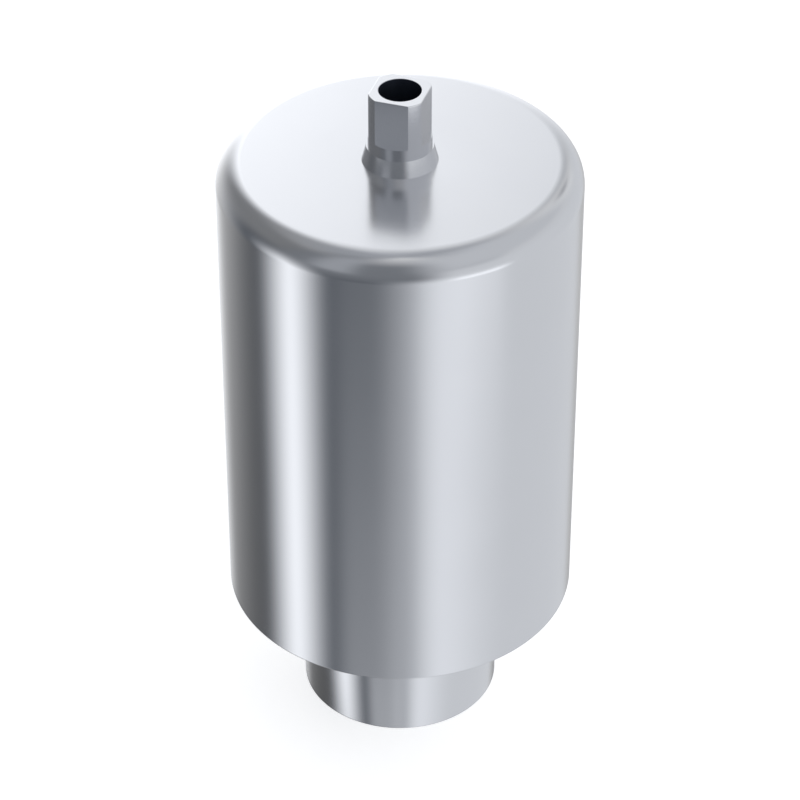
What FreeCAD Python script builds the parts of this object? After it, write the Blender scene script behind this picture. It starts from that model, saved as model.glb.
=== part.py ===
import FreeCAD, Part
import math
import os

# Dental abutment blank: one piece of titanium, turned and then milled.
# It stands on the flat end of its clamping stub, with the implant connection on top.
# Sizes are in millimetres and degrees. +Z runs up the turning axis.
# The origin is the middle of the stub's flat end.

# Clamping stub and body
STUB_D = 8.0
STUB_H = 5.4
BODY_D = 14.0
BODY_H = 20.0
SHOULDER_R = 1.0

# Retaining screw that the part is bored for
SCREW_THREAD_D = 1.4
SCREW_HEAD_D = 2.3
THREAD_CLEARANCE = 0.11
HEAD_CLEARANCE = 0.1
SEAT_BELOW_BODY_TOP = 1.5
SEAT_HALF_ANGLE = 45.0

# Implant connection: conical seat, ledge, and a tip whose flats end above a round collar
FLAT_WALL = 0.23
FLAT_DEPTH = 0.186
FLAT_COUNT = 4
FIRST_FLAT_TURN = -18.0
TIP_H = 2.35
COLLAR_H = 0.45
LEDGE_W = 0.06
CONE_H = 0.65
CONE_HALF_ANGLE = 15.0

# Broken edges
STUB_EDGE = 0.08
BODY_EDGE = 0.06
TIP_EDGE = 0.02
HOLE_EDGE = 0.02
CHANNEL_EDGE = 0.15

# Heights
body_bottom_z = STUB_H
body_top_z = body_bottom_z + BODY_H
ledge_z = body_top_z + CONE_H
tip_z = ledge_z + TIP_H
seat_z = body_top_z - SEAT_BELOW_BODY_TOP

# Radii, from the screw outwards
hole_r = SCREW_THREAD_D / 2 + THREAD_CLEARANCE
channel_r = SCREW_HEAD_D / 2 + HEAD_CLEARANCE
flat_r = hole_r + FLAT_WALL
tip_r = flat_r + FLAT_DEPTH
cone_top_r = tip_r + LEDGE_W
cone_base_r = cone_top_r + CONE_H * math.tan(math.radians(CONE_HALF_ANGLE))
stub_r = STUB_D / 2
body_r = BODY_D / 2


def at(radius, height):
    """Point of the half section, which lies in the XZ plane."""
    return FreeCAD.Vector(radius, 0, height)


def lines(points):
    """Straight edges through the points of a half section."""
    return [Part.makeLine(a, b) for a, b in zip(points, points[1:])]


def turned(edges):
    """Solid turned about the Z axis from the closed half section."""
    section = Part.Face(Part.Wire(edges))
    return section.revolve(FreeCAD.Vector(0, 0, 0), FreeCAD.Vector(0, 0, 1), 360)


def shoulder_arc():
    """Quarter round between the body's side and its top face."""
    centre = at(body_r - SHOULDER_R, body_top_z - SHOULDER_R)
    middle = centre + at(SHOULDER_R * math.cos(math.pi / 4), SHOULDER_R * math.sin(math.pi / 4))
    start = centre + at(SHOULDER_R, 0)
    end = centre + at(0, SHOULDER_R)
    return Part.Arc(start, middle, end).toShape()


def turned_blank():
    """Stub, body, cone and the still round tip, turned in one set-up."""
    below = [
        at(0, 0),
        at(stub_r - STUB_EDGE, 0),
        at(stub_r, STUB_EDGE),
        at(stub_r, body_bottom_z),
        at(body_r - BODY_EDGE, body_bottom_z),
        at(body_r, body_bottom_z + BODY_EDGE),
        at(body_r, body_top_z - SHOULDER_R),
    ]
    above = [
        at(body_r - SHOULDER_R, body_top_z),
        at(cone_base_r, body_top_z),
        at(cone_top_r, ledge_z),
        at(tip_r, ledge_z),
        at(tip_r, tip_z),
        at(0, tip_z),
        at(0, 0),
    ]
    return turned(lines(below) + [shoulder_arc()] + lines(above))


def flat_cutters():
    """One block for each flat of the tip, all reaching down to the round collar."""
    blocks = []
    for index in range(FLAT_COUNT):
        block = Part.makeBox(tip_r, 2 * tip_r, TIP_H)
        block.translate(FreeCAD.Vector(flat_r, -tip_r, ledge_z + COLLAR_H))
        # A block starts on +X, and the first flat is turned from the front, which is -Y.
        turn = FIRST_FLAT_TURN - 90 + index * 360 / FLAT_COUNT
        block.rotate(FreeCAD.Vector(0, 0, 0), FreeCAD.Vector(0, 0, 1), turn)
        blocks.append(block)
    return blocks


def break_tip_edge(solid):
    """Chamfer round the tip's end face, over its flats and its rounds."""
    rim = [
        edge
        for edge in solid.Edges
        if edge.BoundBox.ZLength < TIP_EDGE and abs(edge.BoundBox.ZMax - tip_z) < TIP_EDGE
    ]
    return solid.makeChamfer(TIP_EDGE, rim)


def screw_channel():
    """Stepped hole: the head's channel, its conical seat and the thread's hole."""
    seat_h = (channel_r - hole_r) / math.tan(math.radians(SEAT_HALF_ANGLE))
    return turned(lines([
        at(0, 0),
        at(channel_r + CHANNEL_EDGE, 0),
        at(channel_r, CHANNEL_EDGE),
        at(channel_r, seat_z - seat_h),
        at(hole_r, seat_z),
        at(hole_r, tip_z - HOLE_EDGE),
        at(hole_r + HOLE_EDGE, tip_z),
        at(0, tip_z),
        at(0, 0),
    ]))


def abutment():
    """The finished part as one solid."""
    flatted = turned_blank().cut(flat_cutters())
    return break_tip_edge(flatted).cut(screw_channel())


os.makedirs("parts", exist_ok=True)
part = abutment()
part.exportStep("parts/abutment.step")
print("solids", len(part.Solids), "valid", part.isValid(), "volume mm3", round(part.Volume, 3))
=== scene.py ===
"""Dental abutment blank in turned titanium, dressed for a plain studio picture."""

import math

import bmesh
import bpy
from bpy.props import FloatProperty, FloatVectorProperty, IntProperty, PointerProperty
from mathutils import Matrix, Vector


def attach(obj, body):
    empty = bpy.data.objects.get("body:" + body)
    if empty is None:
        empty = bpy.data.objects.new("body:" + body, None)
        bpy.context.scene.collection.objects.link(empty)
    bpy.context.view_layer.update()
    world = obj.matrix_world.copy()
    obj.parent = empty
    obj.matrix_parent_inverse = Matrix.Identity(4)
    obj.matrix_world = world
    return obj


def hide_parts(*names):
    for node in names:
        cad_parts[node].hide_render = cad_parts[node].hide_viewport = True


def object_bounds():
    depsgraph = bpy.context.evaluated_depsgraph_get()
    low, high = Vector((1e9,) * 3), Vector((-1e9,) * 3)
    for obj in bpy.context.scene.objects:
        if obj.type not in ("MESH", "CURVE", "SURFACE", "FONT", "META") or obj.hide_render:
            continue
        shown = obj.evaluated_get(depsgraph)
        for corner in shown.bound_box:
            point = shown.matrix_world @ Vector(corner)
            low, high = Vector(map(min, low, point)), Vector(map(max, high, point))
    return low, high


bl_info = {
    "name": "Dental Abutment Blank",
    "version": (1, 0, 0),
    "blender": (4, 5, 0),
    "location": "3D View > Sidebar > Abutment",
    "description": "Models a turned and milled titanium abutment blank and its studio",
    "category": "Object",
}

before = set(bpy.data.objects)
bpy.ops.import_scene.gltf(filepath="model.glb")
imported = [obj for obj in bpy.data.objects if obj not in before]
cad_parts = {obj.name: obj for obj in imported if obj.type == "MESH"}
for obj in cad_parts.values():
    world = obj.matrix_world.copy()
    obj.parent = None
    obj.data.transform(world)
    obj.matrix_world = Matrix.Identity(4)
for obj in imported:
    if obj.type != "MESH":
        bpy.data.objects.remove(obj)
CAD_LOW, CAD_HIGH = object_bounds()

MM = 0.001
NODE = "abutment"
BODY = "root"

# Steps of the full turn. At a degree each, the corners of the tip's flats lie within a twentieth
# of a degree of a step.
TURN_STEPS = 360
# A bend above this angle is a crisp edge; the rounded edges bend less at each step.
CRISP_EDGE = math.radians(26)
EDGE_SEGMENTS = 4
SHOULDER_SEGMENTS = 18
# Distance of a held point from a rounded edge, in radii of the round
HOLD = 2
# Gap between two points that the last clean-up joins again
HAIR = 0.001 * MM
# A face that leans towards the axis by more than this belongs to the bored wall, whose darker colour is
# painted shade.
BORED = 0.6

# Width of the faint clouds in the satin finish
CLOUD_SIZE = 3 * MM
# Share of the clouds in the roughness; the turning marks make up the rest
CLOUD_SHARE = 0.35
# Brightness of the metal where the clouds are darkest, against its brightest
CLOUD_SHADE = 0.97
# Most of a noise lies between these two values.
NOISE_LOW = 0.3
NOISE_HIGH = 0.7
# Full turns from the direction of the marks to that of the widest blur
BLUR_TURN = 0.25

WHITE = (1.0, 1.0, 1.0, 1.0)
# Share of a panel's blueness that its red gives up
RED_LOSS = 0.6


def linear(hex_colour):
    """Linear RGBA of an sRGB hex colour such as "#c8cacd"."""
    channels = [int(hex_colour[i:i + 2], 16) / 255 for i in (1, 3, 5)]
    return [c / 12.92 if c <= 0.04045 else ((c + 0.055) / 1.055) ** 2.4 for c in channels] + [1.0]


def length(name, default, description):
    """A length property, in metres."""
    return FloatProperty(
        name=name, description=description, default=default, min=0, precision=5,
        subtype="DISTANCE", unit="LENGTH",
    )


def colour(name, hex_colour, description):
    """A colour property with its default given as sRGB hex."""
    return FloatVectorProperty(
        name=name, description=description, default=linear(hex_colour), size=4, min=0, max=1,
        subtype="COLOR",
    )


def level(name, default, description):
    """A plain number from nought up, such as a brightness."""
    return FloatProperty(name=name, description=description, default=default, min=0)


class BlankSizes(bpy.types.PropertyGroup):
    """Sizes of the abutment blank"""

    body_diameter: length("Body diameter", CAD_HIGH.x - CAD_LOW.x, "Diameter of the body")
    total_height: length("Total height", CAD_HIGH.z - CAD_LOW.z, "From the stub's end to the tip's end")
    shoulder_radius: length("Shoulder radius", 1.0 * MM, "Round between the body's side and its top face")
    stub_diameter: length("Stub diameter", 8.0 * MM, "Diameter of the clamping stub")
    stub_height: length("Stub height", 5.4 * MM, "Height of the clamping stub")
    hole_diameter: length("Screw hole", 1.62 * MM, "Diameter of the hole for the screw's thread")
    channel_diameter: length("Screw channel", 2.5 * MM, "Diameter of the channel for the screw's head")
    seat_depth: length("Seat depth", 1.5 * MM, "Depth of the screw's seat below the body's top face")
    flat_wall: length("Wall at a flat", 0.23 * MM, "Wall between the screw hole and a flat of the tip")
    flat_depth: length("Flat depth", 0.186 * MM, "Depth of a flat below the tip's round")
    collar_height: length("Collar height", 0.45 * MM, "Height of the tip's round foot, below its flats")
    tip_height: length("Tip height", 2.35 * MM, "Height of the tip above its ledge")
    ledge_width: length("Ledge width", 0.06 * MM, "Width of the ledge between the cone and the tip")
    cone_height: length("Cone height", 0.65 * MM, "Height of the conical seat")
    cone_half_angle: FloatProperty(
        name="Cone half angle", description="Angle between the cone's side and its axis",
        default=math.radians(15), subtype="ANGLE", unit="ROTATION",
    )
    first_flat: FloatProperty(
        name="First flat", description="Turn of the first flat from the front, towards the right",
        default=math.radians(-18), subtype="ANGLE", unit="ROTATION",
    )
    flat_count: IntProperty(name="Flats", description="Number of flats on the tip", default=4, min=2)
    edge_break: length("Edge break", 0.08 * MM, "Round on the stub's and the body's sharp edges")
    tip_edge_break: length("Tip edge break", 0.02 * MM, "Round on the tip's end and the hole's mouth")
    channel_edge_break: length("Channel edge break", 0.15 * MM, "Round on the channel's mouth")


class TitaniumFinish(bpy.types.PropertyGroup):
    """Look of the turned titanium"""

    metal: colour("Metal", "#dcdde0", "Colour of the clean metal")
    roughness: level("Roughness", 0.19, "Middle roughness of the satin finish")
    roughness_spread: level("Roughness spread", 0.015, "How far the roughness strays from its middle")
    grain: level("Grain", 0.45, "How much further the marks blur light across them than along them")
    feed: length("Feed", 0.07 * MM, "Distance between two turning marks")
    mark_depth: length("Mark depth", 0.00004 * MM, "Depth of the turning marks")
    # The bore's colour is darker than the metal as painted shade inside the screw hole and channel.
    bore_painted_shade: colour("Bore", "#5e6575", "Colour of the dull wall of the screw hole and channel")
    bore_roughness: level("Bore roughness", 0.45, "Roughness of the bored wall")


class StudioLook(bpy.types.PropertyGroup):
    """Floor and light of the studio"""

    floor: colour("Floor", "#f2f2f2", "Colour of the floor")
    floor_size: length("Floor size", 4.0, "Length of the floor's sides")
    floor_fill: level("Floor fill", 0.67, "Brightness added to the floor where the camera sees it")
    lens: FloatProperty(
        name="Lens", description="Focal length on a 36 mm wide sensor", default=146.2,
        subtype="DISTANCE_CAMERA",
    )
    camera_distance: length("Camera distance", 129.345 * MM, "From the camera to the point it looks at")
    camera_elevation: FloatProperty(
        name="Camera elevation", description="Angle of the camera above the horizon",
        default=math.radians(36.801), subtype="ANGLE", unit="ROTATION",
    )
    aim_height: length("Aim height", 14.0175 * MM, "Height of the point the camera looks at")


def add_node(tree, kind, settings=None, links=None):
    """Adds a node. settings set its fields; links feed its inputs with a socket or a value."""
    node = tree.nodes.new(kind)
    for field, value in (settings or {}).items():
        setattr(node, field, value)
    for socket, source in (links or {}).items():
        if isinstance(source, bpy.types.NodeSocket):
            tree.links.new(source, node.inputs[socket])
        else:
            node.inputs[socket].default_value = source
    return node


def link_to_scene(obj):
    """Puts the object into the scene's own collection."""
    bpy.context.scene.collection.objects.link(obj)
    return obj


def half_section(bm, sizes):
    """Closed outline of the half section in the XZ plane, with its corners rounded."""
    stub_r = sizes.stub_diameter / 2
    body_r = sizes.body_diameter / 2
    hole_r = sizes.hole_diameter / 2
    channel_r = sizes.channel_diameter / 2
    tip_r = hole_r + sizes.flat_wall + sizes.flat_depth
    cone_top_r = tip_r + sizes.ledge_width
    cone_base_r = cone_top_r + sizes.cone_height * math.tan(sizes.cone_half_angle)
    tip_z = sizes.total_height
    ledge_z = tip_z - sizes.tip_height
    body_top_z = ledge_z - sizes.cone_height
    seat_z = body_top_z - sizes.seat_depth
    # The seat's cone leans at 45 degrees, so it is as high as it is wide.
    seat_foot_z = seat_z - (channel_r - hole_r)
    collar_z = ledge_z + sizes.collar_height
    # Points this far from a rounded edge keep the face beside it shaded flat. On faces as small
    # as the tip's and the stub's end, weighted normals alone don't.
    tip_hold = HOLD * sizes.tip_edge_break
    stub_hold = HOLD * sizes.edge_break
    channel_hold = HOLD * sizes.channel_edge_break
    # Radius, height, rounding and its segments, in order round the outline
    corners = [
        (channel_r, 0, sizes.channel_edge_break, EDGE_SEGMENTS),
        (channel_r + channel_hold, 0, 0, 0),
        (stub_r - stub_hold, 0, 0, 0),
        (stub_r, 0, sizes.edge_break, EDGE_SEGMENTS),
        (stub_r, sizes.stub_height, 0, 0),
        (body_r, sizes.stub_height, sizes.edge_break, EDGE_SEGMENTS),
        (body_r, body_top_z, sizes.shoulder_radius, SHOULDER_SEGMENTS),
        (cone_base_r, body_top_z, 0, 0),
        (cone_top_r, ledge_z, 0, 0),
        (tip_r, ledge_z, 0, 0),
        (tip_r, collar_z, 0, 0),
        # The collar's rim comes twice, a hair apart, so that the flats can press in the upper one.
        (tip_r, collar_z + HAIR, 0, 0),
        (tip_r, tip_z - tip_hold, 0, 0),
        (tip_r, tip_z, sizes.tip_edge_break, EDGE_SEGMENTS),
        (tip_r - tip_hold, tip_z, 0, 0),
        (hole_r + tip_hold, tip_z, 0, 0),
        (hole_r, tip_z, sizes.tip_edge_break, EDGE_SEGMENTS),
        (hole_r, tip_z - tip_hold, 0, 0),
        (hole_r, seat_z, 0, 0),
        (channel_r, seat_foot_z, 0, 0),
    ]
    points = [bm.verts.new((radius, 0, height)) for radius, height, _, _ in corners]
    for start, end in zip(points, points[1:] + points[:1]):
        bm.edges.new((start, end))
    for point, (_, _, rounding, segments) in zip(points, corners):
        if rounding:
            bmesh.ops.bevel(
                bm, geom=[point], offset=rounding, offset_type="OFFSET", affect="VERTICES",
                segments=segments, profile=0.5, material=-1,
            )


def mill_flats(bm, sizes):
    """Presses the round tip's side in to its flats, down to the collar."""
    flat_r = sizes.hole_diameter / 2 + sizes.flat_wall
    tip_r = flat_r + sizes.flat_depth
    collar_z = sizes.total_height - sizes.tip_height + sizes.collar_height
    # A point on the rounded end edge lies further in than the side does, and stays so.
    tip = [
        (v, tip_r - v.co.xy.length) for v in bm.verts
        if v.co.z > collar_z + HAIR / 2 and flat_r < v.co.xy.length < tip_r + HAIR
    ]
    for index in range(sizes.flat_count):
        turn = sizes.first_flat + index * math.tau / sizes.flat_count
        outward = Vector((math.sin(turn), -math.cos(turn), 0))
        for v, inset in tip:
            proud = v.co.dot(outward) - (flat_r - inset)
            if proud > 0:
                v.co -= proud * outward


def finish_mesh(bm, name):
    """Makes the mesh's object, smooth over its rounds and crisp at its edges."""
    bmesh.ops.remove_doubles(bm, verts=bm.verts, dist=2 * HAIR)
    bmesh.ops.recalc_face_normals(bm, faces=bm.faces)
    for face in bm.faces:
        face.smooth = True
        # The bored wall faces the axis and takes the second material, whose darker colour is painted shade
        # in the hole.
        inward = -face.normal.xy.dot(face.calc_center_median().xy.normalized())
        face.material_index = int(inward > BORED)
    for edge in bm.edges:
        edge.smooth = edge.calc_face_angle(0) < CRISP_EDGE
    mesh = bpy.data.meshes.new(name)
    bm.to_mesh(mesh)
    bm.free()
    return link_to_scene(bpy.data.objects.new(name, mesh))


def turned_titanium(name, metal, roughness, finish):
    """Turned titanium: a satin metal, a little cooler than steel, whose fine rings blur what it mirrors."""
    material = bpy.data.materials.new(name)
    material.use_nodes = True
    tree = material.node_tree
    tree.nodes.clear()
    place = add_node(tree, "ShaderNodeTexCoord")
    axes = add_node(tree, "ShaderNodeSeparateXYZ", links={"Vector": place.outputs["Object"]})
    flat_place = add_node(
        tree, "ShaderNodeCombineXYZ", links={"X": axes.outputs["X"], "Y": axes.outputs["Y"]}
    )
    radius = add_node(
        tree, "ShaderNodeVectorMath", {"operation": "LENGTH"}, {0: flat_place.outputs["Vector"]}
    )
    # Radius and height alone place the marks, so that they run in rings as the tool cut them.
    lathe = add_node(
        tree, "ShaderNodeCombineXYZ", links={"X": radius.outputs["Value"], "Y": axes.outputs["Z"]}
    )
    # The marks run round the axis, so light spreads further across them than along them.
    around = add_node(
        tree, "ShaderNodeVectorMath", {"operation": "CROSS_PRODUCT"},
        {0: (0, 0, 1), 1: flat_place.outputs["Vector"]},
    )
    rings = add_node(
        tree, "ShaderNodeTexNoise", {"noise_dimensions": "2D"},
        {"Vector": lathe.outputs["Vector"], "Scale": 1 / finish.feed, "Detail": 2.0, "Roughness": 0.6},
    )
    cloud = add_node(
        tree, "ShaderNodeTexNoise", {"noise_dimensions": "3D"},
        {"Vector": place.outputs["Object"], "Scale": 1 / CLOUD_SIZE, "Detail": 3.0},
    )
    mixed = add_node(
        tree, "ShaderNodeMix", {"data_type": "FLOAT"},
        {"Factor": CLOUD_SHARE, "A": rings.outputs["Fac"], "B": cloud.outputs["Fac"]},
    )
    satin = add_node(
        tree, "ShaderNodeMapRange",
        links={
            "Value": mixed.outputs["Result"],
            "From Min": NOISE_LOW, "From Max": NOISE_HIGH,
            "To Min": roughness - finish.roughness_spread,
            "To Max": roughness + finish.roughness_spread,
        },
    )
    bump = add_node(
        tree, "ShaderNodeBump",
        links={"Strength": 1.0, "Distance": finish.mark_depth, "Height": rings.outputs["Fac"]},
    )
    # For the bored wall, metal holds the bore's darker colour, which is painted shade.
    tint = add_node(
        tree, "ShaderNodeMix", {"data_type": "RGBA"},
        {
            "Factor": cloud.outputs["Fac"],
            "A": [CLOUD_SHADE * c for c in metal[:3]] + [1.0],
            "B": list(metal),
        },
    )
    surface = add_node(
        tree, "ShaderNodeBsdfPrincipled",
        links={
            "Base Color": tint.outputs["Result"], "Metallic": 1.0,
            "Roughness": satin.outputs["Result"], "Normal": bump.outputs["Normal"],
            "Anisotropic": finish.grain, "Anisotropic Rotation": BLUR_TURN,
            "Tangent": around.outputs["Vector"],
        },
    )
    add_node(tree, "ShaderNodeOutputMaterial", links={"Surface": surface.outputs["BSDF"]})
    return material


class ABUTMENT_OT_blank(bpy.types.Operator):
    """Models the turned and milled blank and gives it its finish"""

    bl_idname = "abutment.blank"
    bl_label = "Turned Blank"

    def execute(self, context):
        sizes = context.scene.abutment_sizes
        bm = bmesh.new()
        half_section(bm, sizes)
        bmesh.ops.spin(
            bm, geom=bm.verts[:] + bm.edges[:], cent=(0, 0, 0), axis=(0, 0, 1), dvec=(0, 0, 0),
            angle=math.tau, steps=TURN_STEPS, use_merge=True,
        )
        mill_flats(bm, sizes)
        blank = finish_mesh(bm, "turned_blank")
        finish = context.scene.abutment_finish
        for material in (
            turned_titanium("turned_titanium", finish.metal, finish.roughness, finish),
            # Duller than the outside, and darker in colour as painted shade, so that the screw hole reads
            # as a dark mouth
            turned_titanium("bore_titanium_painted_shade", finish.bore_painted_shade, finish.bore_roughness, finish),
        ):
            blank.data.materials.append(material)
        # Keeps the large faces shaded flat beside their rounded edges
        fair = blank.modifiers.new("fair_shading", "WEIGHTED_NORMAL")
        fair.keep_sharp = True
        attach(blank, BODY)
        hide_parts(NODE)
        return {"FINISHED"}


# Soft boxes and dark cards of the studio, each painted over the ones before it: name, azimuth,
# half width, lowest and highest elevation, softness across and up, brightness and blueness.
# Angles are in degrees. Azimuth 0 is the front and 90 the right. An elevation past 90 or -90 takes
# in the zenith or the nadir without an edge. Blueness is what blue has over the brightness.
STUDIO = (
    ("front card", -46, 82, -110, 48, 35, 10, 0.10, 0.018),
    ("ceiling", -166, 135, 50, 130, 24, 24, 0.42, 0.030),
    ("front top card", -6, 70, -24, 71, 9, 33, 0.23, 0.020),
    ("right bank", 101, 81, -120, 20, 14, 11, 0.77, 0.030),
    ("right upper bank", 76, 59, 16, 76, 19, 14, 0.66, 0.030),
    ("right rear card", 169, 16, 16, 45, 15, 15, 0.43, 0.025),
    ("left wall", -127, 56, 10, 61, 10, 20, 0.24, 0.008),
    ("right end card", 166, 15, -110, -15, 12, 12, 0.60, 0.000),
    ("left rear card", -147, 51, -110, -33, 17, 21, 0.11, 0.000),
    ("front low glow", -19, 22, -110, -40, 9, 7, 0.49, 0.025),
    ("front left glow", -40, 12, 2, 65, 8, 8, 0.43, 0.030),
    ("right key", 27, 18, -110, -18, 29, 14, 1.04, 0.040),
    ("right low strip", 49, 17, -30, -20, 7, 6, 1.50, 0.045),
    ("left strip", -73, 12, -62, -15, 18, 28, 1.60, 0.040),
    ("back box", -172, 12, -32, 45, 21, 48, 2.21, 0.060),
    ("right small card", 144, 5, 28, 36, 4, 5, 0.30, 0.020),
)


def studio_world():
    """World of soft boxes round the object, plain white where the camera looks past them."""
    world = bpy.data.worlds.new("studio")
    world.use_nodes = True
    tree = world.node_tree
    tree.nodes.clear()
    place = add_node(tree, "ShaderNodeTexCoord")
    axes = add_node(tree, "ShaderNodeSeparateXYZ", links={"Vector": place.outputs["Generated"]})
    level_part = add_node(
        tree, "ShaderNodeCombineXYZ", links={"X": axes.outputs["X"], "Y": axes.outputs["Y"]}
    )
    heading = add_node(
        tree, "ShaderNodeVectorMath", {"operation": "NORMALIZE"}, {0: level_part.outputs["Vector"]}
    )
    elevation = add_node(
        tree, "ShaderNodeMath", {"operation": "ARCSINE"}, {0: axes.outputs["Z"]}
    ).outputs[0]

    def soft_step(value, start, end):
        """Smooth rise from nought at start to one at end."""
        step = add_node(
            tree, "ShaderNodeMapRange", {"interpolation_type": "SMOOTHSTEP"},
            {"Value": value, "From Min": start, "From Max": end},
        )
        return step.outputs["Result"]

    def product(first, second):
        """Product of two sockets."""
        return add_node(
            tree, "ShaderNodeMath", {"operation": "MULTIPLY"}, {0: first, 1: second}
        ).outputs[0]

    light = add_node(tree, "ShaderNodeRGB").outputs[0]
    light.default_value = WHITE
    for name, *angles, brightness, blueness in STUDIO:
        azimuth, half_width, low, high, soft, soft_up = (math.radians(angle) for angle in angles)
        towards = (math.sin(azimuth), -math.cos(azimuth), 0)
        facing = add_node(
            tree, "ShaderNodeVectorMath", {"operation": "DOT_PRODUCT", "label": name},
            {0: heading.outputs["Vector"], 1: towards},
        )
        away = add_node(
            tree, "ShaderNodeMath", {"operation": "ARCCOSINE"}, {0: facing.outputs["Value"]}
        ).outputs[0]
        across = soft_step(away, half_width + soft, half_width - soft)
        above = soft_step(elevation, low - soft_up, low + soft_up)
        below = soft_step(elevation, high + soft_up, high - soft_up)
        cover = product(across, product(above, below))
        panel = (brightness - RED_LOSS * blueness, brightness, brightness + blueness, 1.0)
        light = add_node(
            tree, "ShaderNodeMix", {"data_type": "RGBA"}, {"Factor": cover, "A": light, "B": panel}
        ).outputs["Result"]
    ray = add_node(tree, "ShaderNodeLightPath")
    seen = add_node(
        tree, "ShaderNodeMix", {"data_type": "RGBA"},
        {"Factor": ray.outputs["Is Camera Ray"], "A": light, "B": WHITE},
    )
    background = add_node(
        tree, "ShaderNodeBackground", links={"Color": seen.outputs["Result"], "Strength": 1.0}
    )
    add_node(tree, "ShaderNodeOutputWorld", links={"Surface": background.outputs["Background"]})
    return world


def floor_material(look):
    """Matt white floor paper, with a fill that lifts it to white where the camera sees it."""
    material = bpy.data.materials.new("floor_paper")
    material.use_nodes = True
    tree = material.node_tree
    tree.nodes.clear()
    ray = add_node(tree, "ShaderNodeLightPath")
    fill = add_node(
        tree, "ShaderNodeMath", {"operation": "MULTIPLY"},
        {0: ray.outputs["Is Camera Ray"], 1: look.floor_fill},
    )
    paper = add_node(tree, "ShaderNodeBsdfDiffuse", links={"Color": list(look.floor)})
    glow = add_node(tree, "ShaderNodeEmission", links={"Strength": fill.outputs[0]})
    both = add_node(tree, "ShaderNodeAddShader", links={0: paper.outputs[0], 1: glow.outputs[0]})
    add_node(tree, "ShaderNodeOutputMaterial", links={"Surface": both.outputs[0]})
    return material


def add_floor(look):
    """Square of floor under the stub's end."""
    bm = bmesh.new()
    bmesh.ops.create_grid(bm, x_segments=1, y_segments=1, size=look.floor_size / 2)
    mesh = bpy.data.meshes.new("floor")
    bm.to_mesh(mesh)
    bm.free()
    floor = link_to_scene(bpy.data.objects.new("floor", mesh))
    floor.data.materials.append(floor_material(look))
    floor.visible_glossy = False


def add_camera(look):
    """Camera at the photograph's angle, level and looking at the axis."""
    data = bpy.data.cameras.new("camera")
    data.lens = look.lens
    data.clip_start = 1 * MM
    camera = link_to_scene(bpy.data.objects.new("camera", data))
    aim = Vector((0, 0, look.aim_height))
    back = Vector((0, -math.cos(look.camera_elevation), math.sin(look.camera_elevation)))
    camera.location = aim + look.camera_distance * back
    camera.rotation_euler = (-back).to_track_quat("-Z", "Y").to_euler()
    bpy.context.scene.camera = camera


class ABUTMENT_OT_stage(bpy.types.Operator):
    """Lays the floor, hangs the studio's soft boxes and places the camera"""

    bl_idname = "abutment.stage"
    bl_label = "Studio"

    def execute(self, context):
        look = context.scene.abutment_look
        add_floor(look)
        context.scene.world = studio_world()
        add_camera(look)
        context.scene.view_settings.view_transform = "Standard"
        return {"FINISHED"}


class ABUTMENT_PT_sidebar(bpy.types.Panel):
    """Sizes, finish and studio of the abutment blank"""

    bl_label = "Abutment Blank"
    bl_idname = "ABUTMENT_PT_sidebar"
    bl_space_type = "VIEW_3D"
    bl_region_type = "UI"
    bl_category = "Abutment"

    def draw(self, context):
        scene = context.scene
        steps = (
            (scene.abutment_sizes, None),
            (scene.abutment_finish, ABUTMENT_OT_blank),
            (scene.abutment_look, ABUTMENT_OT_stage),
        )
        for group, operator in steps:
            box = self.layout.box()
            for name in group.__annotations__:
                box.prop(group, name)
            if operator:
                box.operator(operator.bl_idname)


CLASSES = (
    BlankSizes,
    TitaniumFinish,
    StudioLook,
    ABUTMENT_OT_blank,
    ABUTMENT_OT_stage,
    ABUTMENT_PT_sidebar,
)


def register():
    """Registers the classes and gives the scene their settings."""
    for cls in CLASSES:
        bpy.utils.register_class(cls)
    bpy.types.Scene.abutment_sizes = PointerProperty(type=BlankSizes)
    bpy.types.Scene.abutment_finish = PointerProperty(type=TitaniumFinish)
    bpy.types.Scene.abutment_look = PointerProperty(type=StudioLook)


def unregister():
    """Takes the settings and the classes out again."""
    del bpy.types.Scene.abutment_look
    del bpy.types.Scene.abutment_finish
    del bpy.types.Scene.abutment_sizes
    for cls in reversed(CLASSES):
        bpy.utils.unregister_class(cls)


def main():
    """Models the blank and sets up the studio."""
    register()
    bpy.ops.abutment.blank()
    bpy.ops.abutment.stage()


if __name__ == "__main__":
    main()
